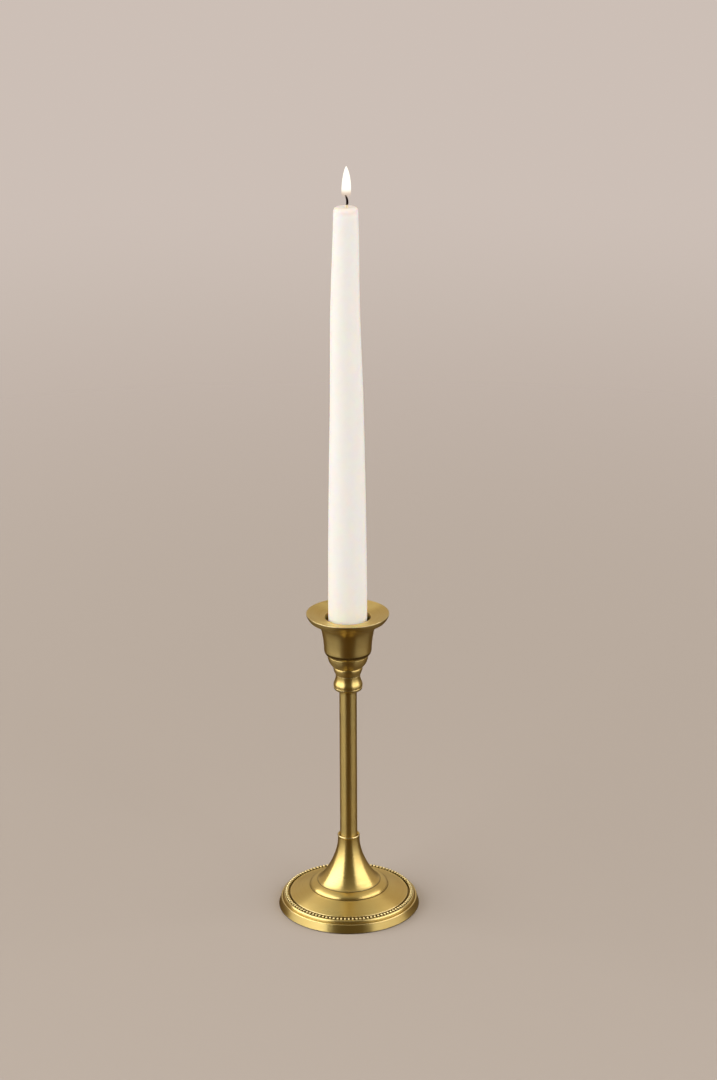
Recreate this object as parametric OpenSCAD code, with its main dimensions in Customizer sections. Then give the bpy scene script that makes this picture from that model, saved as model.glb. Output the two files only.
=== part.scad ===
// Turned brass candlestick for one taper candle, bolted together by a rod through its middle.
// Millimetres, +Z up. The origin is the centre of the face it stands on.

/* [Base] */
// Diameter of the base at the table
base_d = 82.8; // [82:0.2:86]
// How far the brass rim stands above the table, on its felt
foot_gap = 0.2; // [0.1:0.1:0.6]
// Height of the ledge at the top of the outer band
band_h = 5.3; // [4.8:0.1:5.8]
// How far the band leans in by the time it meets the ledge
band_lean = 1.3; // [0.6:0.1:1.4]
// Width of the flat ledge inside the band
ledge_w = 1.2; // [0.9:0.1:1.2]
// Height of the rounded moulding outside the beads
moulding_h = 7.3; // [7:0.1:7.6]
// Height of the disc where it starts, inside the beads
disc_edge_h = 7.9; // [7.6:0.1:8.2]
// Height of the flat centre that the step ring stands on
disc_top_h = 12.4; // [11.6:0.1:13]
// Thickness of the cast metal over the hollow underside
base_wall = 3.2; // [2.6:0.1:3.4]

/* [Bead row] */
// Diameter of one bead
bead_d = 1.75; // [1.6:0.05:2]
// Number of beads round the rim
bead_count = 104; // [90:1:106]
// Radius of the circle that the beads' centres stand on
bead_row_r = 36.8; // [36.6:0.1:36.8]
// Width of the open gap between the disc and the beads' strip
bead_gap = 1.1; // [0.8:0.1:1.2]

/* [Step ring] */
// Outer diameter of the rounded ring under the trumpet
step_d = 46.1; // [44:0.1:47]
// Height of the ring
step_h = 3.2; // [2.6:0.1:3.8]

/* [Trumpet] */
// Diameter of the trumpet's foot
trumpet_foot_d = 36.9; // [35:0.1:38]
// Height of the trumpet, from its foot to its lip
trumpet_h = 29.4; // [28:0.2:32]
// Diameter of the neck, below the lip
trumpet_neck_d = 12.7; // [12.5:0.1:13.2]
// Diameter over the lip
lip_d = 13.2; // [13:0.1:13.8]

/* [Stem] */
// Outer diameter of the stem tube
stem_d = 10.1; // [9.8:0.1:10.4]
// Wall of the stem tube
stem_wall = 1; // [0.8:0.1:1.2]
// Length of the tube that shows, between the lip and the knop
stem_visible = 91.8; // [80:0.2:110]

/* [Knop] */
// Widest diameter of the knop
knop_d = 16.8; // [16.4:0.1:17.4]
// Height of the knop
knop_h = 9.6; // [9.4:0.1:10.6]
// Diameter of the neck between the knop and the cup
neck_d = 14.2; // [13.8:0.1:14.4]

/* [Candle cup] */
// Diameter of the drip flange
flange_d = 47.7; // [46:0.1:50]
// Height of the cup, from the neck to the flange's rim
cup_h = 37.5; // [37:0.1:38.5]
// Diameter of the bell at its foot, over the bowl
bell_d = 27.4; // [27:0.1:28]
// Diameter of the socket's mouth
mouth_d = 26.6; // [26:0.1:27]
// Depth of the mouth's edge below the flange's rim
dish_depth = 2.05; // [1.6:0.05:2.4]
// Depth of the socket below the mouth's edge
socket_depth = 22.05; // [21:0.05:23]

/* [Fixings] */
// Thread size of the tie rod
rod_d = 6; // [5.6:0.1:6.2]
// Width of the nut across its flats
nut_flats = 10; // [9.6:0.1:11]
// Thickness of the felt pad
felt_t = 1.4; // [1.2:0.1:1.6]

/* [Candle] */
// Widest diameter of the taper candle
candle_d = 22.4; // [21.8:0.1:22.8]
// Length of the candle, from its end in the socket to its top
candle_l = 261; // [200:0.1:310]
// Diameter of the candle's end in the socket
candle_end_d = 19.4; // [19:0.1:19.5]
// Diameter of the candle just under its top
candle_top_d = 13.9; // [13:0.1:16]
// Thickness of the wick
wick_d = 1.4; // [1:0.1:1.6]
// Length of wick above the wax
wick_exposed = 6.6; // [5:0.1:8]

/* [Hidden] */
$fn = 96;
brass = "goldenrod";
steel = "silver";
slack = 0.02; // side clearance between pieces that fit closely
play = 0.3; // side clearance of the rod in the pieces that it only passes through

// Heights of the seams between the stacked pieces
step_z = disc_top_h;
trumpet_z = step_z + step_h;
lip_z = trumpet_z + trumpet_h;
knop_z = lip_z + stem_visible;
cup_z = knop_z + knop_h;
rim_z = cup_z + cup_h;
mouth_z = rim_z - dish_depth;
socket_z = mouth_z - socket_depth;
candle_top_z = socket_z + candle_l;

// Stem seats in the trumpet and the knop
stem_r = stem_d / 2;
stem_bore_r = stem_r - stem_wall;
trumpet_seat = 5.5;
knop_seat = 4.4;

// Spigots that centre the trumpet in the step ring and the cup in the knop
step_bore_r = 14;
spigot_r = 4.9;
spigot_h = 2.5;

// Tie rod, from the nut to its blind hole in the cup
rod_r = rod_d / 2;
rod_pass_r = rod_r + play;
rod_grip = 8.5;
rod_bottom_z = felt_t + 0.6;
rod_top_z = cup_z + rod_grip;
web_z = disc_top_h - base_wall;
clamp_r = 9;
clamp_t = 1.6;
lock_r = 5.4;
lock_t = 1.6;
nut_t = 3.2;
nut_z = web_z - clamp_t - lock_t - nut_t;
felt_r = 36.6;

// Bead row: the beads stand on a flat strip that lies against the outer side of a channel
bead_r = bead_d / 2;
bead_z = moulding_h + 0.1;
strip_half = 0.95;
strip_z = moulding_h - 1;
strip_top_z = moulding_h - 0.3;
channel_out_r = bead_row_r + strip_half + 0.05;
channel_in_r = bead_row_r - strip_half - bead_gap;

curve_steps = 12;

// Points of a smooth curve that leaves a towards b, and comes to d from c. The first is left out.
function curve(a, b, c, d, n = curve_steps) =
    [for (i = [1 : n]) let (t = i / n, s = 1 - t)
        s * s * s * a + 3 * s * s * t * b + 3 * s * t * t * c + t * t * t * d];

// Points of an arc about c with half-widths rx and rz, from angle a0 to a1, both ends included.
function arc(c, rx, rz, a0, a1, n = 6) =
    [for (i = [0 : n]) let (a = a0 + (a1 - a0) * i / n) c + [rx * cos(a), rz * sin(a)]];

// A turned piece: its outline of [radius, height] points goes once round the section.
module turned(outline) {
    rotate_extrude() polygon(outline);
}

module tube(outer_r, inner_r, z0, z1) {
    turned([[inner_r, z0], [outer_r, z0], [outer_r, z1], [inner_r, z1]]);
}

// Cast base: felt recess and hollow below; band, ledge, groove, moulding and domed disc above.
module base_plate() {
    foot_r = base_d / 2;
    felt_seat_r = felt_r + 0.4;
    web_r = 22;
    hollow_r = 30;
    hollow_z = 4.8;
    edge = 0.35;
    ledge_r = foot_r - band_lean;
    groove_r = ledge_r - ledge_w;
    groove_w = 0.3;
    groove_deep = 0.35;
    crest_r = channel_out_r + 0.05;
    disc_r = channel_in_r - 0.15;
    hub_r = step_d / 2 + 0.25;
    color(brass)
    turned(concat(
        [[rod_pass_r, web_z], [web_r, web_z], [hollow_r, hollow_z]],
        [[hollow_r, felt_t], [felt_seat_r, felt_t], [felt_seat_r, foot_gap]],
        arc([foot_r - edge, foot_gap + edge], edge, edge, -90, 0),
        arc([ledge_r - edge, band_h - edge], edge, edge, 12, 90),
        [[groove_r + groove_w, band_h], [groove_r + groove_w / 2, band_h - groove_deep],
         [groove_r - 0.05, band_h - 0.1]],
        curve([groove_r - 0.05, band_h - 0.1], [groove_r, band_h + 1.1],
              [groove_r - 0.4, moulding_h], [crest_r, moulding_h], 8),
        [[channel_out_r, moulding_h - 0.05], [channel_out_r, strip_z]],
        [[channel_in_r, strip_z], [channel_in_r, disc_edge_h - 0.15], [disc_r, disc_edge_h]],
        curve([disc_r, disc_edge_h], [disc_r - 4, disc_edge_h + 2],
              [hub_r + 4, disc_top_h - 1.5], [hub_r, disc_top_h], 10),
        [[rod_pass_r, disc_top_h]]));
}

// Beaded wire: round beads on a flat strip, soldered into the channel of the base.
module bead_ring() {
    color(brass)
    union() {
        tube(bead_row_r + strip_half, bead_row_r - strip_half, strip_z, strip_top_z);
        for (i = [0 : bead_count - 1])
            rotate(360 * i / bead_count)
                translate([bead_row_r, 0, bead_z])
                    sphere(r = bead_r, $fn = 24);
    }
}

// Rounded ring between the disc and the trumpet. The trumpet's spigot centres it.
module step_ring() {
    outer_r = step_d / 2;
    flat_r = trumpet_foot_d / 2 - 0.6;
    relief = 0.2;
    color(brass)
    turned(concat(
        [[step_bore_r, step_z], [outer_r - relief, step_z]],
        arc([flat_r, step_z + relief], outer_r - flat_r, step_h - relief, 0, 90, 12),
        [[step_bore_r, step_z + step_h]]));
}

// Flared lower stem, hollow below, with a lip and a seat for the tube at its mouth.
module trumpet() {
    foot_r = trumpet_foot_d / 2;
    neck_r = trumpet_neck_d / 2;
    lip_r = lip_d / 2;
    mouth_r = 5.85;
    recess = 2.2;
    relief = 0.25;
    lip_round = 0.36;
    spigot_foot_r = step_bore_r - 0.05;
    spigot_z = step_z + 0.2;
    neck_z = trumpet_z + trumpet_h - 2.6;
    seat_z = lip_z - trumpet_seat;
    hollow_r = 12;
    hollow_top_r = 5;
    hollow_top_z = trumpet_z + 17.5;
    color(brass)
    turned(concat(
        [[rod_pass_r, hollow_top_z]],
        curve([hollow_top_r, hollow_top_z], [hollow_top_r + 1, hollow_top_z - 6],
              [hollow_r - 2, trumpet_z + 4], [hollow_r, trumpet_z + 0.5], 6),
        [[hollow_r, spigot_z], [spigot_foot_r, spigot_z], [spigot_foot_r, trumpet_z]],
        [[foot_r - relief, trumpet_z]],
        [[foot_r, trumpet_z + relief]],
        curve([foot_r, trumpet_z + relief], [foot_r - 3.65, trumpet_z + 2.42],
              [neck_r, trumpet_z + 15.83], [neck_r, neck_z], 16),
        [[neck_r, lip_z - 1.3]],
        arc([lip_r - lip_round, lip_z - 0.55], lip_round, 0.55, -40, 90),
        arc([mouth_r + 0.2, lip_z - 0.3], 0.2, 0.3, 90, 180, 3),
        [[mouth_r, lip_z - recess], [stem_r + slack, lip_z - recess], [stem_r + slack, seat_z]],
        [[rod_pass_r, seat_z]]));
}

// Drawn tube between the trumpet and the knop.
module stem_tube() {
    color(brass)
    tube(stem_r, stem_bore_r, lip_z - trumpet_seat, knop_z + knop_seat);
}

// Vase-shaped knop: a bead at its foot, a fine groove, and a body that narrows to the neck.
module knop() {
    wide_r = knop_d / 2;
    neck_r = neck_d / 2;
    bead_r = wide_r - 0.05;
    groove_z = knop_z + 2.2;
    groove_deep = 0.6;
    body_z = groove_z + 1;
    seat_z = knop_z + knop_seat;
    spigot_floor_z = cup_z - spigot_h - 0.1;
    color(brass)
    turned(concat(
        [[stem_r + slack, knop_z], [bead_r - 1.6, knop_z]],
        curve([bead_r - 1.6, knop_z], [bead_r - 0.4, knop_z + 0.1],
              [bead_r, knop_z + 0.8], [bead_r, groove_z - 0.3], 8),
        [[bead_r - groove_deep, groove_z]],
        curve([bead_r - groove_deep, groove_z], [wide_r - 0.1, groove_z + 0.15],
              [wide_r, groove_z + 0.5], [wide_r, body_z], 4),
        curve([wide_r, body_z], [wide_r, body_z + 1.6],
              [neck_r, body_z + 2.6], [neck_r, body_z + 5.3], 12),
        [[neck_r, cup_z - 0.2], [neck_r - 0.2, cup_z]],
        [[spigot_r + slack, cup_z], [spigot_r + slack, spigot_floor_z]],
        [[rod_pass_r, spigot_floor_z], [rod_pass_r, seat_z], [stem_r + slack, seat_z]]));
}

// Cup and drip flange in one casting: collar, rounded bowl, bell, flange and tapered socket.
module candle_cup() {
    neck_r = neck_d / 2;
    bell_r = bell_d / 2;
    rim_r = flange_d / 2;
    mouth_r = mouth_d / 2;
    collar_r = neck_r + 1.3;
    collar_z = cup_z + 3.4;
    bowl_r = bell_r - 1.95;
    bowl_z = collar_z + 1.4;
    bell_z = cup_z + 11.9;
    waist_r = bell_r + 1.25;
    waist_z = bell_z + 14.4;
    lip_r = rim_r - 0.4;
    lip_h = 1.5;
    lip_edge = 0.25;
    cove_r = lip_r - 2.25;
    cove_z = rim_z - 4.3;
    funnel_r = mouth_r - 1.5;
    funnel_z = mouth_z - 11;
    floor_r = 9.95;
    color(brass)
    turned(concat(
        [[rod_r, cup_z - spigot_h], [spigot_r, cup_z - spigot_h], [spigot_r, cup_z]],
        [[neck_r - 0.15, cup_z], [neck_r + 0.12, cup_z + 0.2]],
        curve([neck_r + 0.12, cup_z + 0.2], [neck_r + 0.3, cup_z + 0.8],
              [collar_r - 0.2, collar_z - 1.4], [collar_r, collar_z], 6),
        [[collar_r - 0.02, collar_z + 0.9], [collar_r - 0.25, bowl_z]],
        curve([collar_r - 0.25, bowl_z], [collar_r + 1.1, bowl_z + 0.7],
              [bowl_r - 0.3, bowl_z + 2.8], [bowl_r, bell_z - 0.25], 12),
        [[bowl_r - 0.15, bell_z]],
        curve([bowl_r - 0.15, bell_z], [bell_r - 1.1, bell_z + 0.4],
              [bell_r - 0.15, bell_z + 1.6], [bell_r, bell_z + 3.6], 10),
        curve([bell_r, bell_z + 3.6], [bell_r + 0.08, bell_z + 7],
              [waist_r - 0.75, waist_z - 3.7], [waist_r, waist_z], 8),
        curve([waist_r, waist_z], [waist_r + 0.65, waist_z + 2.9],
              [waist_r + 1.55, waist_z + 5.3], [cove_r, cove_z], 12),
        curve([cove_r, cove_z], [cove_r + 0.8, cove_z + 0.25],
              [lip_r - 0.65, rim_z - 2.7], [lip_r, rim_z - lip_h], 6),
        arc([rim_r - lip_edge, rim_z - lip_edge], lip_edge, lip_edge, 0, 90, 4),
        curve([rim_r - lip_edge, rim_z], [rim_r - 3, rim_z - 0.35],
              [mouth_r + 3, mouth_z + 0.4], [mouth_r + 0.3, mouth_z], 8),
        arc([mouth_r + 0.3, mouth_z - 0.4], 0.3, 0.4, 90, 180, 4),
        curve([mouth_r, mouth_z - 0.4], [mouth_r - 0.6, mouth_z - 3],
              [mouth_r - 1.3, mouth_z - 6], [funnel_r, funnel_z], 6),
        [[floor_r + 0.35, socket_z + 2.5], [floor_r, socket_z], [0, socket_z]],
        [[0, rod_top_z + 0.3], [rod_r, rod_top_z + 0.3]]));
}

// Threaded steel rod that pulls the whole stack together.
module tie_rod() {
    end_chamfer = 0.6;
    color(steel)
    turned([[0, rod_bottom_z], [rod_r - slack - end_chamfer, rod_bottom_z],
        [rod_r - slack, rod_bottom_z + end_chamfer], [rod_r - slack, rod_top_z - end_chamfer],
        [rod_r - slack - end_chamfer, rod_top_z], [0, rod_top_z]]);
}

// Wide washer that spreads the nut's pull over the base's web.
module clamp_washer() {
    color(steel)
    tube(clamp_r, rod_pass_r, web_z - clamp_t, web_z);
}

// Split spring washer, closed flat by the nut.
module lock_washer() {
    slit = 0.8;
    low_z = web_z - clamp_t - lock_t;
    color(steel)
    difference() {
        tube(lock_r, rod_r + 0.1, low_z, low_z + lock_t);
        translate([0, -slit / 2, low_z - 1]) cube([lock_r + 1, slit, lock_t + 2]);
    }
}

// Thin hexagon nut on the rod's lower end.
module hex_nut() {
    corner_r = nut_flats / 2 / cos(30);
    color(steel)
    difference() {
        translate([0, 0, nut_z]) cylinder(r = corner_r, h = nut_t, $fn = 6);
        translate([0, 0, nut_z - 1]) cylinder(r = rod_r, h = nut_t + 2);
    }
}

// Felt glued in the recess under the base. It closes the hollow and stands on the table.
module felt_pad() {
    color("darkslategray")
    cylinder(r = felt_r, h = felt_t);
}

// Taper candle: end narrowed for the socket, long taper, flat top with a rounded edge.
module candle() {
    end_r = candle_end_d / 2;
    wide_r = candle_d / 2;
    top_r = candle_top_d / 2;
    end_z = socket_z + 0.4;
    funnel_z = socket_z + 10.4;
    wide_z = socket_z + 30;
    taper_z = socket_z + 75;
    top_round = 2.2;
    shoulder_z = candle_top_z - top_round;
    bore_r = wick_d / 2 + slack;
    color("ivory")
    turned(concat(
        [[bore_r, socket_z], [end_r - 0.4, socket_z], [end_r, end_z]],
        curve([end_r, end_z], [end_r + 0.1, end_z + 3],
              [wide_r - 0.5, funnel_z - 3], [wide_r - 0.2, funnel_z], 8),
        curve([wide_r - 0.2, funnel_z], [wide_r - 0.05, funnel_z + 2],
              [wide_r, wide_z - 8], [wide_r, wide_z], 6),
        curve([wide_r, wide_z], [wide_r, taper_z],
              [top_r + (wide_r - top_r) * 0.62, shoulder_z - 106], [top_r, shoulder_z], 12),
        arc([top_r - top_round, shoulder_z], top_round, top_round, 10, 90, 6),
        [[bore_r, candle_top_z]]));
}

// Wick through the whole candle, with a bent tip above the wax.
module wick() {
    r = wick_d / 2;
    bend_r = 7;
    bend_deg = 24;
    straight_top = candle_top_z + wick_exposed - bend_r * sin(bend_deg);
    color("dimgray")
    union() {
        translate([0, 0, socket_z]) cylinder(r = r, h = straight_top - socket_z);
        translate([-bend_r, 0, straight_top])
            rotate([90, 0, 0])
                rotate_extrude(angle = bend_deg) translate([bend_r, 0]) circle(r = r);
    }
}

base_plate();
bead_ring();
step_ring();
trumpet();
stem_tube();
knop();
candle_cup();
tie_rod();
clamp_washer();
lock_washer();
hex_nut();
felt_pad();
candle();
wick();
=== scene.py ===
"""Looks of the brass candlestick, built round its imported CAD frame. Lengths are in metres."""
import math
import random

import bpy
import numpy as np
from mathutils import Euler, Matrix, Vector, noise


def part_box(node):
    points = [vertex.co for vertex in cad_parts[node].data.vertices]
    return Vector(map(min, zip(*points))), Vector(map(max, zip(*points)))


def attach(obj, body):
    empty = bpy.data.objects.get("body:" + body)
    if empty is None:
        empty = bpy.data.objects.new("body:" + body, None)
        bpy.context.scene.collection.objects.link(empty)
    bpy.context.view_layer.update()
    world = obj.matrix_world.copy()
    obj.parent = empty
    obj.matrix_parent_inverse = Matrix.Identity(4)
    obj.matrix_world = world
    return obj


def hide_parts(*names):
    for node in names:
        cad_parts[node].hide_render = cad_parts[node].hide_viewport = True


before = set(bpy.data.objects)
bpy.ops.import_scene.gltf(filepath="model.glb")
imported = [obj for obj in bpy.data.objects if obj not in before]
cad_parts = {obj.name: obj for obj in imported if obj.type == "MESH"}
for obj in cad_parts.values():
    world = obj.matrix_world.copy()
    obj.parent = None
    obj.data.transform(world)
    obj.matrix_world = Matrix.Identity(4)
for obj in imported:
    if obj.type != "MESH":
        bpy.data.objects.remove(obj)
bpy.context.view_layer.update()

MM = 0.001
STICK, CANDLE = "candlestick", "candle"
TAU = 2 * math.pi

# Turned pieces: slices round the axis, and by how many millimetres sharp edges are rounded
SLICES = {"base_plate": 320, "step_ring": 256, "trumpet": 224, "stem_tube": 128, "knop": 176,
          "candle_cup": 288, "clamp_washer": 128, "felt_pad": 224, "candle": 160}
ROUNDING = {"base_plate": 0.14, "step_ring": 0.12, "trumpet": 0.1, "stem_tube": 0.08, "knop": 0.1,
            "candle_cup": 0.12, "clamp_washer": 0.2, "felt_pad": 0.35, "candle": 0.45}
# Turned brass pieces: how close their turning lines lie, and how matt they are
LINES_PER_MM = {"base_plate": 2.2, "step_ring": 2.6, "trumpet": 2.4, "stem_tube": 2.4, "knop": 3,
                "candle_cup": 2.2}
ROUGHNESS = {"base_plate": 0.32, "step_ring": 0.33, "trumpet": 0.32, "stem_tube": 0.35,
             "knop": 0.34, "candle_cup": 0.355}

# The beads' strip: half its width, its height, and the open gap between it and the disc
STRIP_HALF, STRIP_H, STRIP_GAP = 0.95 * MM, 0.7 * MM, 1.1 * MM
# The candle socket: its mouth's radius, and the depth of the mouth's edge below the flange's rim
MOUTH_R, MOUTH_DEPTH = 13.3 * MM, 2.05 * MM


# ---------------------------------------------------------------- outlines of turned pieces

def cad_outline(node):
    """A turned CAD node's outline as [radius, height] rows, in order and counter-clockwise.

    Its mesh has a ring of vertices for each point of the outline. closed is False where the
    outline starts and ends on the axis.
    """
    grid = 0.01 * MM
    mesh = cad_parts[node].data
    co = np.array([v.co for v in mesh.vertices])
    places = np.stack([np.hypot(co[:, 0], co[:, 1]), co[:, 2]], 1)
    cells, ring_of = np.unique(np.round(places / grid).astype(int), axis=0, return_inverse=True)
    ring_of = ring_of.ravel()
    first = list(range(len(cells)))
    for i in range(len(cells)):
        near = np.abs(cells[:i] - cells[i]).max(1) <= 1 if i else np.array([])
        if near.any():
            first[i] = first[int(np.argmax(near))]
    beside = {}
    for edge in mesh.edges:
        a, b = (first[ring_of[v]] for v in edge.vertices)
        if a != b:
            beside.setdefault(a, set()).add(b)
            beside.setdefault(b, set()).add(a)
    ends = [i for i in beside if len(beside[i]) == 1]
    closed = not ends
    order = [ends[0] if ends else min(beside)]
    while True:
        ahead = [i for i in sorted(beside[order[-1]]) if i not in order]
        if not ahead:
            break
        order.append(ahead[0])
    points = np.array([places[ring_of == i].mean(0) for i in order])
    if not closed:
        points = np.vstack([[0, points[0][1]], points, [0, points[-1][1]]])
    r, z = points.T
    if np.sum(r * np.roll(z, -1) - np.roll(r, -1) * z) < 0:
        points = points[::-1]
    return points, closed


def angle_between(a, b):
    return abs(math.atan2(a[0] * b[1] - a[1] * b[0], a[0] * b[0] + a[1] * b[1]))


def stations(length):
    """Shares of a segment at which it gets points: close together at its ends, wider between."""
    steps, reach, gap = [], 0.0, 0.2 * MM
    while reach + gap < length / 2:
        reach += gap
        steps.append(reach)
        gap = min(gap * 1.5, 1.6 * MM)
    return [0.0] + [s / length for s in steps] + [0.5] + [1 - s / length for s in reversed(steps)]


def smooth_outline(points, closed):
    """Runs a curve through the outline where it turns gently, and keeps its corners."""
    corner_turn = math.radians(28)
    n = len(points)
    span = n if closed else n - 1
    sides = [points[(i + 1) % n] - points[i] for i in range(span)]
    lengths = [float(np.linalg.norm(s)) for s in sides]
    heads = [s / l for s, l in zip(sides, lengths)]
    corner, tangent = [True] * n, [None] * n
    for i in range(n):
        if not closed and i in (0, n - 1):
            continue
        before, after = (i - 1) % span, i % span
        if angle_between(heads[before], heads[after]) > corner_turn:
            continue
        corner[i] = False
        lb, la = lengths[before], lengths[after]
        if lb > 3 * la:
            tangent[i] = heads[before]
        elif la > 3 * lb:
            tangent[i] = heads[after]
        else:
            mean = heads[before] * la + heads[after] * lb
            tangent[i] = mean / np.linalg.norm(mean)
    made, sharp = [], []
    for i in range(span):
        j = (i + 1) % n
        head, length = heads[i], lengths[i]
        start, end = tangent[i], tangent[j]
        if start is None and end is not None:
            start = 2 * np.dot(end, head) * head - end
        if end is None and start is not None:
            end = 2 * np.dot(start, head) * head - start
        if start is None:
            start = end = head
        for k, t in enumerate(stations(length)):
            s = 1 - t
            p = (points[i] * (s * s * (1 + 2 * t)) + points[j] * (t * t * (1 + 2 * s))
                 + start * (length * s * s * t) - end * (length * t * t * s))
            made.append(p)
            sharp.append(k == 0 and corner[i])
    if not closed:
        made.append(points[-1])
        sharp.append(False)
        sharp[0] = False
    return np.array(made), sharp


def round_corners(points, sharp, size):
    """Rounds the marked corners off over size to each side."""
    n = len(points)
    gaps = np.linalg.norm(np.roll(points, -1, 0) - points, axis=1)

    def walk(start, step, reach):
        """The point that lies reach along the outline from a corner, and the index after it."""
        i, left = start, reach
        while True:
            gap = gaps[i] if step > 0 else gaps[(i - 1) % n]
            j = (i + step) % n
            if gap >= left or sharp[j]:
                share = min(left / gap, 0.45) if sharp[j] else left / gap
                return points[i] + (points[j] - points[i]) * share, i
            left, i = left - gap, j

    cuts, dropped = {}, set()
    for c in [i for i in range(n) if sharp[i]]:
        back, first = walk(c, -1, size)
        fore, last = walk(c, 1, size)
        i = first
        while i != last:
            dropped.add(i)
            i = (i + 1) % n
        dropped.add(last)
        cuts[c] = [back * (1 - t) ** 2 + points[c] * 2 * t * (1 - t) + fore * t * t
                   for t in (0, 0.2, 0.4, 0.6, 0.8, 1)]
    made = []
    for i in range(n):
        if i in cuts:
            made += cuts[i]
        elif i not in dropped:
            made.append(points[i])
    return np.array(made)


def turned_outline(node):
    points, closed = cad_outline(node)
    points, sharp = smooth_outline(points, closed)
    return round_corners(points, sharp, ROUNDING[node] * MM), closed


def arc_lengths(points):
    return np.concatenate([[0], np.cumsum(np.linalg.norm(np.diff(points, axis=0), axis=1))])


def relief_of(points, closed, reach):
    """How far the outline's near neighbours stand out from each of its points: above 0 in a
    hollow, below 0 on an edge, as a share of reach."""
    run = arc_lengths(points)
    if closed:
        total = run[-1] + np.linalg.norm(points[0] - points[-1])
        run = np.concatenate([run - total, run, run + total])
        points = np.vstack([points] * 3)
    before = np.stack([np.interp(run - reach, run, points[:, k]) for k in (0, 1)], 1)
    after = np.stack([np.interp(run + reach, run, points[:, k]) for k in (0, 1)], 1)
    way = after - before
    way /= np.maximum(np.linalg.norm(way, axis=1, keepdims=True), 1e-9)
    outward = np.stack([way[:, 1], -way[:, 0]], 1)
    share = ((before + after) / 2 - points) * outward
    share = share.sum(1) / reach
    third = len(share) // 3
    return share[third:2 * third] if closed else share


def seam_nearness(points, others, reach):
    """1 where the outline touches another piece's outline, falling to 0 at reach from it."""
    gaps = np.full(len(points), 1.0)
    for other in others:
        spread = points[:, None, :] - other[None, :, :]
        gaps = np.minimum(gaps, np.sqrt((spread ** 2).sum(2)).min(1))
    return np.clip(1 - gaps / reach, 0, 1)


# ---------------------------------------------------------------- meshes

def make_object(name, verts, faces, smooth=True):
    mesh = bpy.data.meshes.new(name)
    mesh.from_pydata([tuple(v) for v in verts], [], faces)
    mesh.update()
    if smooth:
        mesh.polygons.foreach_set("use_smooth", [True] * len(mesh.polygons))
    piece = bpy.data.objects.new(name, mesh)
    bpy.context.scene.collection.objects.link(piece)
    return piece


def point_value(piece, name, values):
    """Stores a number for each vertex, for the materials to read."""
    attribute = piece.data.attributes.new(name, "FLOAT", "POINT")
    attribute.data.foreach_set("value", np.asarray(values, np.float32))


def lathe(name, points, closed, slices, wobble=None):
    """Turns an outline about Z. wobble(angle, radius, height) may shift a point outwards.

    The UV map holds the run along the outline (U, in decimetres) and the turn (V).
    """
    rows = len(points)
    run = arc_lengths(points) * 10
    turn = [TAU * k / slices for k in range(slices)]
    verts, first = [], []
    for r, z in points:
        first.append(len(verts))
        if r < 1e-7:
            verts.append((0, 0, z))
            continue
        for a in turn:
            out = r + (wobble(a, r, z) if wobble else 0)
            verts.append((out * math.cos(a), out * math.sin(a), z))
    faces, uvs = [], []
    for i in range(rows if closed else rows - 1):
        j = (i + 1) % rows
        u0 = run[i]
        u1 = run[j] if j else run[i] + float(np.linalg.norm(points[0] - points[-1])) * 10
        for k in range(slices):
            k1 = (k + 1) % slices
            corners = [(first[i] + k, u0, k), (first[i] + k1, u0, k + 1),
                       (first[j] + k1, u1, k + 1), (first[j] + k, u1, k)]
            if points[i][0] < 1e-7:
                corners = [(first[i], u0, k + 0.5)] + corners[2:]
            elif points[j][0] < 1e-7:
                corners = corners[:2] + [(first[j], u1, k + 0.5)]
            faces.append([c[0] for c in corners])
            uvs += [(c[1], c[2] / slices) for c in corners]
    piece = make_object(name, verts, faces)
    layer = piece.data.uv_layers.new(name="UVMap")
    layer.data.foreach_set("uv", np.array(uvs, np.float32).ravel())
    return piece


def spread_rows(points, slices, values):
    """A value for each outline point, as one for each vertex of its lathe()."""
    return [v for (r, z), v in zip(points, values) for _ in range(1 if r < 1e-7 else slices)]


def stand_for(piece, node, body, material):
    """Puts a piece in the place of its CAD node."""
    piece.data.materials.append(material)
    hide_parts(node)
    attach(piece, body)
    return piece


# ---------------------------------------------------------------- node graphs

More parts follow.
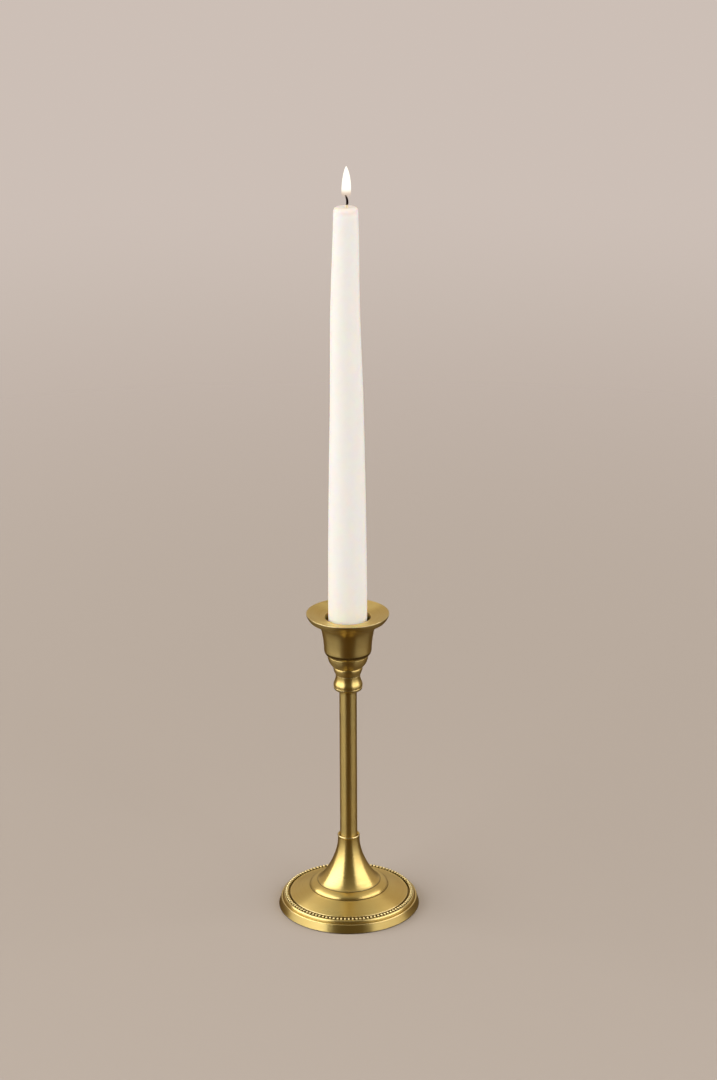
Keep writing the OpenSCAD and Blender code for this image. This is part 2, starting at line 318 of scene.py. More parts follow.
class Graph:
    """The node graph of a material or world, with short ways to add a node and to join it up."""

    def __init__(self, owner):
        """owner is a world, or the name of a new material."""
        self.owner = bpy.data.materials.new(owner) if isinstance(owner, str) else owner
        self.owner.use_nodes = True
        self.tree = self.owner.node_tree
        self.tree.nodes.clear()

    def add(self, kind, inputs=None, **settings):
        """Adds a node. inputs sets or links its sockets by name or by number."""
        node = self.tree.nodes.new(kind)
        for key, value in settings.items():
            setattr(node, key, value)
        for key, value in (inputs or {}).items():
            if isinstance(value, bpy.types.NodeSocket):
                self.tree.links.new(value, node.inputs[key])
            else:
                node.inputs[key].default_value = value
        return node

    def math(self, operation, a, b=0.0, c=0.0):
        return self.add("ShaderNodeMath", {0: a, 1: b, 2: c}, operation=operation).outputs[0]

    def vector(self, operation, a, b=(0, 0, 0)):
        return self.add("ShaderNodeVectorMath", {0: a, 1: b}, operation=operation).outputs[0]

    def noise(self, vector, scale, detail=2.0, roughness=0.5):
        node = self.add("ShaderNodeTexNoise", {"Vector": vector, "Scale": scale, "Detail": detail,
                                               "Roughness": roughness})
        return node.outputs["Fac"]

    def ramp(self, value, low, high, to_low=0.0, to_high=1.0):
        """Maps value from low..high to to_low..to_high, smoothly, and holds it there."""
        node = self.add("ShaderNodeMapRange", {"Value": value, "From Min": low, "From Max": high,
                                               "To Min": to_low, "To Max": to_high},
                        interpolation_type="SMOOTHSTEP")
        return node.outputs["Result"]

    def mix(self, share, a, b, blend="MIX"):
        node = self.add("ShaderNodeMix", {0: share, 6: a, 7: b}, data_type="RGBA", blend_type=blend)
        return node.outputs[2]

    def attribute(self, name):
        return self.add("ShaderNodeAttribute", attribute_name=name).outputs["Fac"]

    def finish(self, shader):
        self.add("ShaderNodeOutputMaterial", {"Surface": shader})
        return self.owner


def turned_place(graph):
    """Where a point is on a turned piece: (cos, sin) of its turn, and its run in millimetres."""
    place = graph.add("ShaderNodeTexCoord").outputs["Object"]
    flat = graph.vector("NORMALIZE", graph.vector("MULTIPLY", place, (1, 1, 0)))
    uv = graph.add("ShaderNodeUVMap", uv_map="UVMap").outputs["UV"]
    run = graph.math("MULTIPLY", graph.add("ShaderNodeSeparateXYZ", {0: uv}).outputs[0], 100)
    return place, flat, run


def streaks(graph, flat, run, per_mm, around, detail=2.0):
    """Noise drawn out round the axis: per_mm changes along the outline, around of them in a turn."""
    along = graph.add("ShaderNodeCombineXYZ", {2: graph.math("MULTIPLY", run, per_mm)}).outputs[0]
    wide = graph.vector("MULTIPLY", flat, (around, around, 0))
    return graph.noise(graph.vector("ADD", along, wide), 1.0, detail, 0.6)


# Brass colours, as scene-linear values
BRASS = (0.83, 0.65, 0.25, 1)
BRASS_WARM = (0.82, 0.61, 0.215, 1)
BRASS_WORN = (0.94, 0.83, 0.5, 1)
BRASS_TARNISH = (0.42, 0.27, 0.08, 1)
# Dark brown of dirt and painted shade in hollows and seams
BRASS_DIRT_AND_SHADE = (0.1, 0.055, 0.016, 1)
# Near-black painted shade between and under the beads
BEAD_PAINTED_SHADE = (0.035, 0.021, 0.007, 1)


def brass_colour(graph, tone, lines, grime_and_shade, edge, dirt_and_shade=BRASS_DIRT_AND_SHADE):
    """Brass with faint tarnish, worn edges, and a dark tone in its hollows and seams that is
    partly dirt, partly painted shade.
    """
    colour = graph.mix(graph.ramp(tone, 0.35, 0.68), BRASS, BRASS_WARM)
    colour = graph.mix(graph.ramp(lines, 0.5, 0.95, 0, 0.3), colour, BRASS_TARNISH)
    colour = graph.mix(graph.math("MULTIPLY", edge, 0.85), colour, BRASS_WORN)
    # The darkest tone where the mask is full: dirt and painted shade
    return graph.mix(graph.math("MULTIPLY", grime_and_shade, 0.9), colour, dirt_and_shade)


def turned_brass(name, per_mm, roughness):
    """Satin brass with the fine lines that turning and buffing leave round it."""
    graph = Graph(name)
    place, flat, run = turned_place(graph)
    tone = graph.noise(place, 55, 3)
    fine = streaks(graph, flat, run, per_mm * 4, 2.5, 2)
    broad = streaks(graph, flat, run, per_mm, 0.7, 3)
    nicks = graph.noise(place, 900, 2)
    # Dirt and painted shade in hollows and seams, broken up a little by fine nicks
    grime_and_shade = graph.math("MULTIPLY", graph.attribute("grime_and_shade"), graph.ramp(nicks, 0.2, 0.6, 0.75, 1))
    edge = graph.math("MULTIPLY", graph.attribute("edge"), graph.ramp(tone, 0.3, 0.6, 0.35, 1))
    rough = graph.math("MULTIPLY_ADD", broad, 0.2, roughness - 0.1)
    rough = graph.math("MULTIPLY_ADD", tone, 0.08, graph.math("SUBTRACT", rough, 0.04))
    rough = graph.math("MULTIPLY_ADD", edge, -0.08, rough)
    rough = graph.math("MULTIPLY_ADD", grime_and_shade, 0.25, rough)
    height = graph.math("MULTIPLY_ADD", fine, 0.5, broad)
    bump = graph.add("ShaderNodeBump", {"Strength": 0.5, "Distance": 0.03 * MM, "Height": height})
    tangent = graph.add("ShaderNodeTangent", direction_type="RADIAL", axis="Z")
    shader = graph.add("ShaderNodeBsdfPrincipled", {
        "Base Color": brass_colour(graph, tone, broad, grime_and_shade, edge), "Metallic": 1.0,
        "Roughness": rough, "Normal": bump.outputs[0], "Tangent": tangent.outputs[0],
        "Anisotropic": graph.math("MULTIPLY_ADD", grime_and_shade, -0.7, 0.88), "Anisotropic Rotation": 0.25})
    return graph.finish(shader.outputs[0])


def bead_brass():
    """The beads' brass: buffed bright on top, with painted shade between and under them."""
    graph = Graph("bead_brass")
    place = graph.add("ShaderNodeTexCoord").outputs["Object"]
    tone = graph.noise(place, 90, 2)
    nicks = graph.noise(place, 1600, 3)
    # Painted shade between and under the beads, broken up a little by fine nicks
    grime_and_shade = graph.math("MULTIPLY", graph.attribute("grime_and_shade"), graph.ramp(nicks, 0.25, 0.6, 0.8, 1))
    rough = graph.math("MULTIPLY_ADD", grime_and_shade, 0.4, graph.ramp(nicks, 0.3, 0.7, 0.24, 0.36))
    bump = graph.add("ShaderNodeBump", {"Strength": 0.3, "Distance": 0.03 * MM, "Height": nicks})
    shader = graph.add("ShaderNodeBsdfPrincipled", {
        "Base Color": brass_colour(graph, tone, nicks, grime_and_shade, graph.attribute("edge"), BEAD_PAINTED_SHADE),
        "Metallic": 1.0, "Roughness": rough, "Normal": bump.outputs[0]})
    return graph.finish(shader.outputs[0])


def zinc_steel():
    """Zinc-plated steel, with the plating's faint spangle."""
    graph = Graph("zinc_steel")
    place = graph.add("ShaderNodeTexCoord").outputs["Object"]
    spangle = graph.noise(place, 700, 3)
    cloud = graph.noise(place, 160, 2)
    colour = graph.mix(graph.ramp(cloud, 0.35, 0.65), (0.58, 0.6, 0.6, 1), (0.66, 0.64, 0.56, 1))
    bump = graph.add("ShaderNodeBump", {"Strength": 0.3, "Distance": 0.02 * MM, "Height": spangle})
    shader = graph.add("ShaderNodeBsdfPrincipled", {
        "Base Color": colour, "Metallic": 1.0, "Roughness": graph.ramp(spangle, 0.3, 0.7, 0.3, 0.45),
        "Normal": bump.outputs[0]})
    return graph.finish(shader.outputs[0])


def felt():
    """Pressed felt: fibres lying every way, in several shades of near-black green."""
    graph = Graph("felt")
    place = graph.add("ShaderNodeTexCoord").outputs["Object"]
    drift = graph.add("ShaderNodeTexNoise", {"Vector": place, "Scale": 400.0}).outputs["Color"]
    bent = graph.vector("ADD", place, drift)
    fibres = graph.add("ShaderNodeTexVoronoi", {"Vector": place, "Scale": 1400.0},
                       feature="DISTANCE_TO_EDGE").outputs[0]
    tufts = graph.noise(bent, 500, 4, 0.7)
    colour = graph.mix(graph.ramp(tufts, 0.3, 0.7), (0.012, 0.02, 0.014, 1), (0.045, 0.062, 0.045, 1))
    height = graph.math("ADD", tufts, fibres)
    bump = graph.add("ShaderNodeBump", {"Strength": 0.9, "Distance": 0.2 * MM, "Height": height})
    shader = graph.add("ShaderNodeBsdfPrincipled", {
        "Base Color": colour, "Roughness": graph.ramp(tufts, 0.2, 0.8, 0.85, 1.0),
        "Sheen Weight": 0.5, "Sheen Roughness": 0.5, "Normal": bump.outputs[0]})
    return graph.finish(shader.outputs[0])


def candle_wax(top_z):
    """White wax: light goes a little way in, the surface has faint ripples, and painted shade makes
    the end nearest the flame darker and warmer in tone."""
    graph = Graph("candle_wax")
    place = graph.add("ShaderNodeTexCoord").outputs["Object"]
    cloud = graph.noise(place, 60, 2)
    ripple = graph.noise(graph.vector("MULTIPLY", place, (1, 1, 0.35)), 240, 3)
    bloom = graph.noise(place, 2600, 2)
    colour = graph.mix(graph.ramp(cloud, 0.35, 0.65), (0.93, 0.945, 0.975, 1), (0.95, 0.962, 0.985, 1))
    high = graph.add("ShaderNodeSeparateXYZ", {0: place}).outputs[2]
    # Painted shade: the top few millimetres of wax are darker and warmer
    painted_top_shade = graph.ramp(high, top_z - 4.5 * MM, top_z - 0.8 * MM)
    colour = graph.mix(painted_top_shade, colour, (0.86, 0.8, 0.775, 1))
    height = graph.math("MULTIPLY_ADD", bloom, 0.12, ripple)
    bump = graph.add("ShaderNodeBump", {"Strength": 0.3, "Distance": 0.12 * MM, "Height": height})
    shader = graph.add("ShaderNodeBsdfPrincipled", {
        "Base Color": colour, "Roughness": graph.ramp(bloom, 0.3, 0.7, 0.38, 0.52), "IOR": 1.44,
        "Subsurface Weight": 1.0, "Subsurface Radius": (1.0, 0.75, 0.55),
        "Subsurface Scale": 2.5 * MM, "Specular IOR Level": 0.25, "Normal": bump.outputs[0]})
    return graph.finish(shader.outputs[0])


def wick_cord(wax_top):
    """Braided cotton: waxy and pale at the candle, burnt black above it."""
    graph = Graph("wick_cord")
    place = graph.add("ShaderNodeTexCoord").outputs["Object"]
    high = graph.add("ShaderNodeSeparateXYZ", {0: place}).outputs[2]
    char = graph.noise(place, 1500, 3)
    burnt = graph.ramp(graph.math("MULTIPLY_ADD", char, 0.5 * MM, high),
                       wax_top + 1.2 * MM, wax_top + 1.9 * MM)
    colour = graph.mix(burnt, (0.85, 0.74, 0.52, 1), (0.008, 0.002, 0.0015, 1))
    colour = graph.mix(graph.ramp(char, 0.55, 0.75, 0, 0.35), colour, (0.03, 0.01, 0.007, 1))
    bump = graph.add("ShaderNodeBump", {"Strength": 0.8, "Distance": 0.06 * MM, "Height": char})
    shader = graph.add("ShaderNodeBsdfPrincipled", {
        "Base Color": colour, "Roughness": graph.ramp(char, 0.3, 0.7, 0.7, 0.95),
        "Specular IOR Level": 0.08, "Normal": bump.outputs[0]})
    return graph.finish(shader.outputs[0])


def flame_glow(low_z, high_z):
    """White-hot flame that turns amber and clear towards its foot."""
    graph = Graph("flame_glow")
    place = graph.add("ShaderNodeTexCoord").outputs["Object"]
    high = graph.add("ShaderNodeSeparateXYZ", {0: place}).outputs[2]
    share = graph.math("DIVIDE", graph.math("SUBTRACT", high, low_z), high_z - low_z)
    colour = graph.mix(graph.ramp(share, 0.08, 0.34), (1.0, 0.76, 0.56, 1), (1.0, 0.96, 0.84, 1))
    strength = graph.ramp(share, 0.08, 0.34, 0.78, 1.25)
    light = graph.add("ShaderNodeEmission", {"Color": colour, "Strength": strength})
    clear = graph.add("ShaderNodeBsdfTransparent")
    rim = graph.add("ShaderNodeLayerWeight", {"Blend": 0.35}).outputs["Facing"]
    body = graph.ramp(share, 0.0, 0.3)
    solid = graph.math("MULTIPLY", body, graph.ramp(rim, 0.62, 1.0, 1.0, 0.25))
    shader = graph.add("ShaderNodeMixShader", {0: solid, 1: clear.outputs[0], 2: light.outputs[0]})
    return graph.finish(shader.outputs[0])


# ---------------------------------------------------------------- pieces

def socket_painted_shade(points):
    """Painted shade inside the cup's socket: none on the flange, full from 3 mm down."""
    edge, fade = 0.15 * MM, 3 * MM
    start_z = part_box("candle_cup")[1].z - MOUTH_DEPTH - edge
    floor_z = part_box("candle")[0].z - 0.1 * MM
    r, z = points.T
    deep = np.clip((start_z - z) / fade, 0, 1)
    return np.where((r < MOUTH_R + 2 * edge) & (z > floor_z), deep, 0)


def channel_dirt_and_shade(points):
    """Old polish and dirt, with painted shade, in the channel that the beads' strip lies in."""
    dirt_and_shade, edge = 0.7, 0.1 * MM
    low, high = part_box("bead_ring")
    in_r, out_r = high.x - 2 * STRIP_HALF - STRIP_GAP - edge, high.x + edge
    r, z = points.T
    return np.where((r > in_r) & (r < out_r) & (abs(z - low.z) < STRIP_H + edge / 2), dirt_and_shade, 0)


def build_turned_brass():
    """The six turned brass pieces, each with its wear, and its dirt and painted shade in hollows
    and seams, worked out from the outlines.
    """
    outlines = {node: turned_outline(node) for node in ROUGHNESS}
    for node, (points, closed) in outlines.items():
        others = [p for other, (p, _) in outlines.items() if other != node]
        relief = relief_of(points, closed, 0.45 * MM)
        # Darker in the outline's hollows and where pieces meet: partly dirt, partly painted shade
        grime_and_shade = np.maximum(np.clip(relief * 2.4 - 0.1, 0, 1), seam_nearness(points, others, 0.6 * MM))
        # In the cup the hollow and seam darkening is halved, and painted shade darkens the socket
        if node == "candle_cup":
            grime_and_shade = np.maximum(grime_and_shade * 0.5, socket_painted_shade(points))
        # The beads' channel: dirt and painted shade
        if node == "base_plate":
            grime_and_shade = np.maximum(grime_and_shade, channel_dirt_and_shade(points))
        edge = np.clip(-relief * 2.2 - 0.15, 0, 1) * (1 - grime_and_shade)
        slices = SLICES[node]
        piece = lathe(node + "_turned", points, closed, slices)
        point_value(piece, "grime_and_shade", spread_rows(points, slices, grime_and_shade))
        point_value(piece, "edge", spread_rows(points, slices, edge))
        brass = turned_brass(node + "_brass", LINES_PER_MM[node], ROUGHNESS[node])
        stand_for(piece, node, STICK, brass)


def count_beads(node):
    """The number of beads, from the gaps in turn between the vertices along the row's crest."""
    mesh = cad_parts[node].data
    top = max(v.co.z for v in mesh.vertices)
    turns = sorted(math.atan2(v.co.y, v.co.x) % TAU for v in mesh.vertices if v.co.z > top - 2e-6)
    return 1 + sum(b - a > 0.01 for a, b in zip(turns, turns[1:]))


def build_bead_ring():
    """Beaded wire: beads longer than they are wide, with gaps between, on their flat strip."""
    low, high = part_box("bead_ring")
    row_r = high.x - STRIP_HALF
    long_half, wide_half, wire_r = 0.95 * MM, 0.68 * MM, 0.3 * MM
    strip_z = low.z + STRIP_H
    centre_z = strip_z + wire_r
    tall = high.z - centre_z
    beads = count_beads("bead_ring")
    shape = random.Random(7)
    verts, faces, grime_and_shade, edge = [], [], [], []
    rings, sides = 14, 20
    for n in range(beads):
        a = TAU * n / beads + shape.uniform(-0.0008, 0.0008)
        out, along = Vector((math.cos(a), math.sin(a), 0)), Vector((-math.sin(a), math.cos(a), 0))
        size = shape.uniform(0.97, 1.0)
        base = len(verts)
        centre = out * row_r + Vector((0, 0, centre_z))
        for i in range(1, rings):
            lift, wide = math.cos(math.pi * i / rings), math.sin(math.pi * i / rings) ** 0.85
            for k in range(sides):
                t = TAU * k / sides
                x, y = wide * math.cos(t), wide * math.sin(t)
                verts.append(centre + (out * x * long_half + along * y * wide_half) * size
                             + Vector((0, 0, lift * tall * size)))
                # Painted shade on each bead's lower half and on its sides towards its neighbours
                grime_and_shade.append(min(1, max(0, (0.2 - lift) * 2.2, (abs(y) - 0.85) * 4)))
                edge.append(min(1, max(0, lift - 0.2) * 1.6))
        top = len(verts)
        verts += [centre + Vector((0, 0, tall * size)), centre - Vector((0, 0, tall * size))]
        # No painted shade on a bead's top pole, full painted shade on its bottom pole
        grime_and_shade += [0, 1]
        edge += [0.5, 0]
        for k in range(sides):
            k1 = (k + 1) % sides
            faces.append([top, base + k, base + k1])
            last = base + (rings - 2) * sides
            faces.append([top + 1, last + k1, last + k])
            for i in range(rings - 2):
                p, q = base + i * sides, base + (i + 1) * sides
                faces.append([p + k, q + k, q + k1, p + k1])
    # The strip, with the neck wire that the beads hang together by
    slices = beads * 4
    section = [(-STRIP_HALF, low.z), (STRIP_HALF, low.z), (STRIP_HALF, strip_z)]
    section += [(wire_r * math.cos(t), strip_z + wire_r * math.sin(t))
                for t in np.linspace(0, math.pi, 7)]
    section.append((-STRIP_HALF, strip_z))
    base = len(verts)
    for x, z in section:
        for k in range(slices):
            a = TAU * k / slices
            verts.append(Vector(((row_r + x) * math.cos(a), (row_r + x) * math.sin(a), z)))
            # The whole strip under the beads gets full painted shade
            grime_and_shade.append(1)
            edge.append(0)
    for i in range(len(section)):
        j = (i + 1) % len(section)
        for k in range(slices):
            k1 = (k + 1) % slices
            faces.append([base + i * slices + k, base + i * slices + k1,
                          base + j * slices + k1, base + j * slices + k])
    piece = make_object("bead_row", verts, faces)
    point_value(piece, "grime_and_shade", grime_and_shade)
    point_value(piece, "edge", edge)
    stand_for(piece, "bead_ring", STICK, bead_brass())


def helix_depth(turn, z, pitch):
    """A screw thread's depth, 0 at its crest and 1 at its root."""
    wave = abs(((z / pitch - turn / TAU) % 1) * 2 - 1)
    return min(1, max(0, wave * 1.35 - 0.15))


def build_tie_rod(material):
    """The M6 rod: screw thread at both ends, plain shank between."""
    low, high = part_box("tie_rod")
    outer, pitch, depth = high.x, 1.0 * MM, 0.55 * MM
    bottom_thread, top_thread = low.z + 22 * MM, high.z - 14 * MM
    rows = [low.z + k * pitch / 8 for k in range(int((bottom_thread - low.z) / pitch * 8) + 1)]
    rows += [bottom_thread + k * 8 * MM for k in range(1, int((top_thread - bottom_thread) / 8 / MM))]
    rows += [top_thread + k * pitch / 8 for k in range(int((high.z - top_thread) / pitch * 8) + 1)]
    rows = [z for z in rows if z < high.z - 1e-6] + [high.z]

    def thread(turn, r, z):
        in_thread = z <= bottom_thread or z >= top_thread
        end = max(0.0, 0.7 * MM - min(z - low.z, high.z - z))
        cut = helix_depth(turn, z, pitch) * depth if in_thread else 0.12 * MM
        return -max(cut, end)

    points = np.array([(0, low.z)] + [(outer, z) for z in rows] + [(0, high.z)])
    piece = lathe("tie_rod_threaded", points, False, 36, thread)
    stand_for(piece, "tie_rod", STICK, material)


def build_hex_nut(material):
    """The thin nut: chamfered corners on both faces, and a threaded bore."""
    low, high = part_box("hex_nut")
    half_flats, height = high.y, high.z - low.z
    bore_r, chamfer_r, slope = 3 * MM, half_flats * 0.96, math.tan(math.radians(30))
    slices, pitch = 72, 1.0 * MM
    bore_rows = 26

    def hexagon(turn):
        return half_flats / math.cos((turn + math.pi / 6) % (math.pi / 3) - math.pi / 6)

    def bore(turn, z):
        mouth = max(0.0, 0.5 * MM - min(z - low.z, high.z - z))
        crest = bore_r - 0.5 * MM * helix_depth(turn, z + pitch / 2, pitch)
        return max(crest, bore_r - 0.35 * MM + mouth)

    turns = [TAU * t / slices for t in range(slices)]
    heights = [high.z - height * k / bore_rows for k in range(bore_rows + 1)]
    rings = [[(bore(a, z), z) for a in turns] for z in heights]
    rings.append([(chamfer_r, low.z)] * slices)
    rings.append([(hexagon(a), low.z + (hexagon(a) - chamfer_r) * slope) for a in turns])
    rings.append([(hexagon(a), high.z - (hexagon(a) - chamfer_r) * slope) for a in turns])
    rings.append([(chamfer_r, high.z)] * slices)
    verts = [(r * math.cos(a), r * math.sin(a), z) for ring in rings for (r, z), a in zip(ring, turns)]
    faces = []
    for i in range(len(rings)):
        j = (i + 1) % len(rings)
        for k in range(slices):
            k1 = (k + 1) % slices
            faces.append([i * slices + k, i * slices + k1, j * slices + k1, j * slices + k])
    piece = make_object("hex_nut_threaded", verts, faces, smooth=False)
    stand_for(piece, "hex_nut", STICK, material)


def build_lock_washer(material):
    """The split washer: its square section goes nearly once round, with slanted ends."""
    low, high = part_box("lock_washer")
    inner, outer, round_by = 3.1 * MM, high.y, 0.15 * MM
    slit = math.radians(8.5)
    steps = 72
    section = [(inner + round_by, low.z), (outer - round_by, low.z), (outer, low.z + round_by),
               (outer, high.z - round_by), (outer - round_by, high.z), (inner + round_by, high.z),
               (inner, high.z - round_by), (inner, low.z + round_by)]
    verts, faces = [], []
    for k in range(steps + 1):
        for r, z in section:
            lean = (z - low.z) / (high.z - low.z) - 0.5
            a = slit / 2 + (TAU - slit) * k / steps + slit * 0.5 * lean
            verts.append((r * math.cos(a), r * math.sin(a), z))
    n = len(section)
    for k in range(steps):
        for i in range(n):
            j = (i + 1) % n
            faces.append([k * n + i, (k + 1) * n + i, (k + 1) * n + j, k * n + j][::-1])
    faces.append(list(range(n)))
    faces.append(list(range(steps * n, steps * n + n))[::-1])
    piece = make_object("lock_washer_split", verts, faces, smooth=False)
    stand_for(piece, "lock_washer", STICK, material)


def build_clamp_washer(material):
    points, closed = turned_outline("clamp_washer")
    piece = lathe("clamp_washer_pressed", points, closed, SLICES["clamp_washer"])
    stand_for(piece, "clamp_washer", STICK, material)


def build_felt_pad():
    """The felt disc, with soft edges and a slightly uneven pile."""
    points, closed = turned_outline("felt_pad")
    fuzzy_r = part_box("felt_pad")[1].x - 1 * MM

    def pile(turn, r, z):
        at = Vector((r * math.cos(turn), r * math.sin(turn), z)) * 700
        return noise.noise(at) * 0.12 * MM if r > fuzzy_r else 0

    piece = lathe("felt_disc", points, closed, SLICES["felt_pad"], pile)
    stand_for(piece, "felt_pad", STICK, felt())


def build_candle():
    """The taper: a little bowed near its top, with a shallow melted top round the wick."""
    points, closed = turned_outline("candle")
    top_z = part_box("candle")[1].z
    dish_r, dish, dish_reach = 4.2 * MM, 0.15 * MM, 0.9 * MM
    for p in points:
        if p[1] > top_z - dish_reach and p[0] < dish_r:
            sunk = 0.5 + 0.5 * math.cos(math.pi * p[0] / dish_r)
            p[1] -= dish * sunk * max(0, 1 - (top_z - p[1]) / dish_reach)

    bow, bow_low, bow_high = 0.6 * MM, top_z - 116 * MM, top_z - 3 * MM
    still_r = 3 * MM  # inside this radius the wax stays round the straight wick

    def uneven(turn, r, z):
        if r < still_r:
            return 0
        share = min(1, max(0, (z - bow_low) / (bow_high - bow_low)))
        side = -bow * math.sin(math.pi * share) ** 2 * math.cos(turn)
        slow = noise.noise(Vector((math.cos(turn) * 0.8, math.sin(turn) * 0.8, z * 22)))
        quick = noise.noise(Vector((math.cos(turn) * 2, math.sin(turn) * 2, z * 260)))
        return side + (slow - 0.9) * 0.06 * MM + (quick - 0.6) * 0.02 * MM

    piece = lathe("candle_taper", points, closed, SLICES["candle"], uneven)
    stand_for(piece, "candle", CANDLE, candle_wax(top_z))


def tube(verts, faces, path, radii, sides):
    """Adds a round tube along a path, closed at both ends."""
    base = len(verts)
    side = Vector((0, 1, 0))
    for i, p in enumerate(path):
        way = (path[min(i + 1, len(path) - 1)] - path[max(i - 1, 0)]).normalized()
        side = (side - way * side.dot(way)).normalized()
        up = way.cross(side)
        for k in range(sides):
            t = TAU * k / sides
            verts.append(p + (side * math.cos(t) + up * math.sin(t)) * radii[i])
    for i in range(len(path) - 1):
        for k in range(sides):
            k1 = (k + 1) % sides
            a, b = base + i * sides, base + (i + 1) * sides
            faces.append([a + k, b + k, b + k1, a + k1][::-1])
    faces.append([base + k for k in range(sides)])
    last = base + (len(path) - 1) * sides
    faces.append([last + k for k in reversed(range(sides))])


def wick_path(wax_top):
    """The wick's line: up the candle's axis, then bowed to +X, with its tip bent back to -X."""
    tip_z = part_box("wick")[1].z - 0.3 * MM

    def at(z):
        t = max(0.0, (z - wax_top) / (tip_z - wax_top))
        bow = 0.4 * min(1, max(0.0, 1 + (z - wax_top) / (4 * MM))) + 0.5 * math.sin(math.pi * min(t, 1))
        return Vector(((bow - 0.5 * t ** 3) * MM, 0, z))

    return at, at(tip_z)


def build_wick():
    """Three strands plaited above and just below the wax, one plain cord under that."""
    low_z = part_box("wick")[0].z
    wax_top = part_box("candle")[1].z
    at, tip = wick_path(wax_top)
    plait_from = wax_top - 4 * MM
    verts, faces = [], []
    plain = [Vector((0, 0, low_z + (plait_from - low_z) * k / 24)) for k in range(25)]
    tube(verts, faces, plain, [0.6 * MM] * len(plain), 12)
    steps, lay = 110, 2.6 * MM
    for strand in range(3):
        path, radii = [], []
        for k in range(steps + 1):
            z = plait_from + (tip.z - plait_from) * k / steps
            turn = TAU * ((z - plait_from) / lay + strand / 3)
            off = Vector((0.31 * MM * math.sin(turn), 0.19 * MM * math.sin(2 * turn), 0))
            burn = max(0, (z - wax_top) / (tip.z - wax_top))
            path.append(at(z) + off * (1 - 0.35 * burn ** 4))
            frayed = 1 + 0.16 * noise.noise(Vector((strand * 9.1, 0, z * 2500)))
            radii.append((0.4 - 0.13 * burn ** 4) * MM * frayed)
        tube(verts, faces, path, radii, 10)
    piece = make_object("wick_plait", verts, faces)
    stand_for(piece, "wick", CANDLE, wick_cord(wax_top))


def flame_width(share):
    """The flame's half-width over its widest, against the share of its height above its foot."""
    widest = 0.24
    if share < widest:
        return math.sqrt(max(0.0, 1 - ((widest - share) / widest) ** 4))
    return (1 - ((share - widest) / (1 - widest)) ** 2) ** 0.74


def build_flame():
    """The flame round the wick's tip: a drop that is widest low down and comes to a soft point."""
    tip = wick_path(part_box("candle")[1].z)[1]
    foot, height, wide = tip.z - 1.5 * MM, 17.7 * MM, 2.6 * MM
    middle, sway = tip.x + 0.25 * MM, 0.25 * MM
    rows, sides = 56, 40
    verts, faces = [], []
    for i in range(1, rows):
        share = (1 - math.cos(math.pi * i / rows)) / 2
        r = wide * flame_width(share)
        lean = middle + sway * math.sin(2.4 * share)
        for k in range(sides):
            a = TAU * k / sides
            verts.append((lean + r * math.cos(a), r * math.sin(a), foot + height * share))
    n = len(verts)
    verts += [(middle, 0, foot), (middle + sway * math.sin(2.4), 0, foot + height)]
    for k in range(sides):
        k1 = (k + 1) % sides
        faces.append([n, k1, k])
        last = (rows - 2) * sides
        faces.append([n + 1, last + k, last + k1])
        for i in range(rows - 2):
            a, b = i * sides, (i + 1) * sides
            faces.append([a + k, a + k1, b + k1, b + k])
    piece = make_object("flame", verts, faces)
    piece.data.materials.append(flame_glow(foot, foot + height))
    piece.visible_shadow = False
    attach(piece, CANDLE)


# ---------------------------------------------------------------- stage, light and camera

def build_floor():
    """A plain pale floor that fades into the backdrop. Reflections see it dark, as brown wood."""
    graph = Graph("floor")
    pale = graph.add("ShaderNodeBsdfDiffuse", {"Color": (0.45, 0.398, 0.368, 1)})
    dark = graph.add("ShaderNodeBsdfDiffuse", {"Color": (0.06, 0.033, 0.011, 1)})
    path = graph.add("ShaderNodeLightPath")
    ground = graph.add("ShaderNodeMixShader", {0: path.outputs["Is Glossy Ray"],
                                               1: pale.outputs[0], 2: dark.outputs[0]})
    place = graph.add("ShaderNodeTexCoord").outputs["Object"]
    away = graph.add("ShaderNodeVectorMath", {0: place}, operation="LENGTH").outputs["Value"]
    faded = graph.math("MULTIPLY", path.outputs["Is Camera Ray"], graph.ramp(away, 0.15, 1.9))
    clear = graph.add("ShaderNodeBsdfTransparent")
    shader = graph.add("ShaderNodeMixShader", {0: faded, 1: ground.outputs[0], 2: clear.outputs[0]})
    radius, sides = 9.0, 96
    verts = [(radius * math.cos(TAU * k / sides), radius * math.sin(TAU * k / sides), 0)
             for k in range(sides)]
    floor = make_object("floor", verts, [list(range(sides))], smooth=False)
    floor.data.materials.append(graph.finish(shader.outputs[0]))


def softbox(name, azimuth, distance, middle_z, width, height, colour, brightness,
            aim=(0, 0, 0.2), reflected=True):
    """A soft box. Azimuth is in degrees from -Y, towards +X. It faces the point called aim."""
    light = bpy.data.lights.new(name, "AREA")
    light.shape = "RECTANGLE"
    light.size, light.size_y = width, height
    light.color = colour
    light.energy = brightness * math.pi * width * height
    lamp = bpy.data.objects.new(name, light)
    a = math.radians(azimuth)
    lamp.location = (distance * math.sin(a), -distance * math.cos(a), middle_z)
    way = Vector(aim) - lamp.location
    lamp.rotation_euler = way.to_track_quat("-Z", "Y").to_euler()
    lamp.visible_camera = False
    lamp.visible_glossy = reflected
    bpy.context.scene.collection.objects.link(lamp)


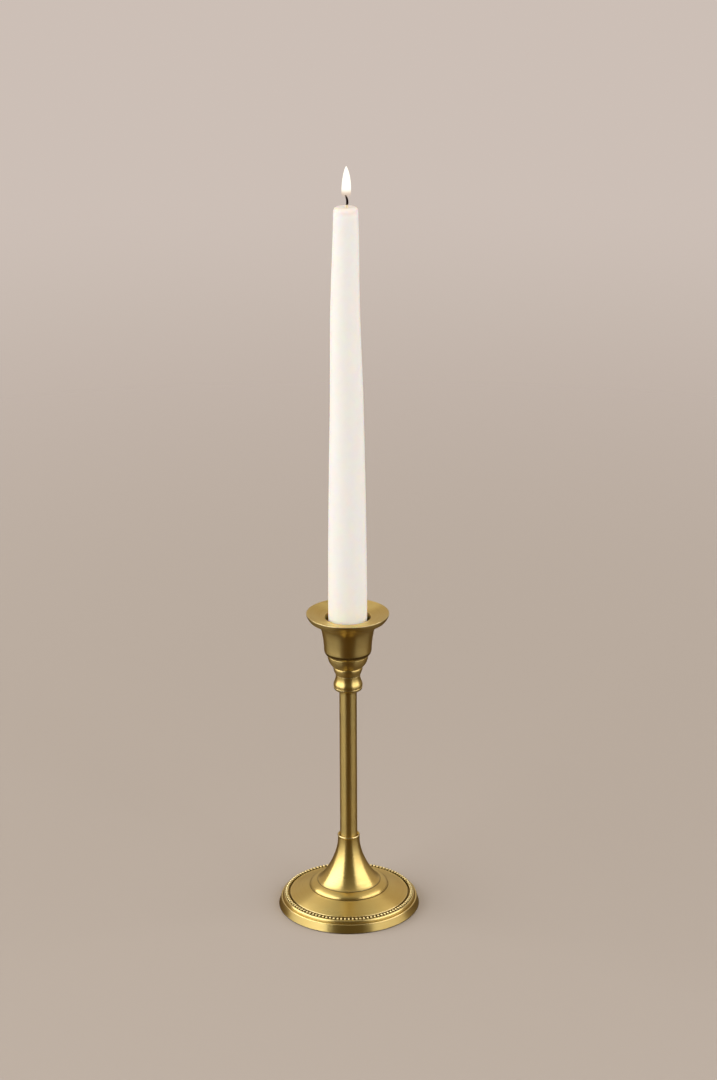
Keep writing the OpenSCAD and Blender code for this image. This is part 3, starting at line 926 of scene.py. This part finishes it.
def build_world():
    """The room: beige behind the object, darker towards the camera's side and paler overhead. The
    camera sees one plain backdrop tone."""
    world = bpy.data.worlds.new("studio")
    bpy.context.scene.world = world
    graph = Graph(world)
    way = graph.add("ShaderNodeTexCoord").outputs["Generated"]
    along = graph.add("ShaderNodeSeparateXYZ", {0: way}).outputs
    room = graph.mix(graph.ramp(along[1], -0.85, 0.25), (0.085, 0.066, 0.028, 1), (0.48, 0.4, 0.3, 1))
    room = graph.mix(graph.ramp(along[2], 0.62, 0.95, 0, 0.6), room, (0.44, 0.42, 0.34, 1))
    path = graph.add("ShaderNodeLightPath")
    tone = graph.mix(path.outputs["Is Camera Ray"], room, (0.607, 0.521, 0.468, 1))
    shade = graph.add("ShaderNodeBackground", {"Color": tone, "Strength": 1.0})
    graph.add("ShaderNodeOutputWorld", {"Surface": shade.outputs[0]})


def build_camera():
    """The camera, with the place, tilt and roll fitted to the photograph."""
    camera = bpy.data.cameras.new("camera")
    camera.sensor_width = 36
    camera.lens = 97.65
    eye = bpy.data.objects.new("camera", camera)
    eye.location = (6.33 * MM, -1565.2 * MM, 786.1 * MM)
    tilt, roll = math.radians(90 - 19.62), math.radians(-0.195)
    eye.rotation_euler = (Euler((tilt, 0, 0)).to_matrix() @ Euler((0, 0, roll)).to_matrix()).to_euler()
    bpy.context.scene.collection.objects.link(eye)
    bpy.context.scene.camera = eye


def build_lights():
    softbox("key_left", -74, 2.8, 1.62, 4.8, 2.6, (1.0, 0.985, 0.955), 2.9)
    softbox("fill_right", 71, 2.8, 1.64, 3.9, 2.6, (1.0, 0.97, 0.93), 1.95)
    softbox("front", 24, 3.0, 1.8, 2.4, 2.0, (0.94, 0.97, 1.0), 2.0, reflected=False)
    softbox("back", 180, 3.4, 2.4, 5.0, 2.0, (1.0, 0.98, 0.96), 1.2, (0, 3.9, 0), False)


build_camera()
build_lights()
build_world()
build_floor()
build_turned_brass()
build_bead_ring()
steel = zinc_steel()
build_tie_rod(steel)
build_hex_nut(steel)
build_lock_washer(steel)
build_clamp_washer(steel)
build_felt_pad()
build_candle()
build_wick()
build_flame()
bpy.context.scene.view_settings.view_transform = "Standard"
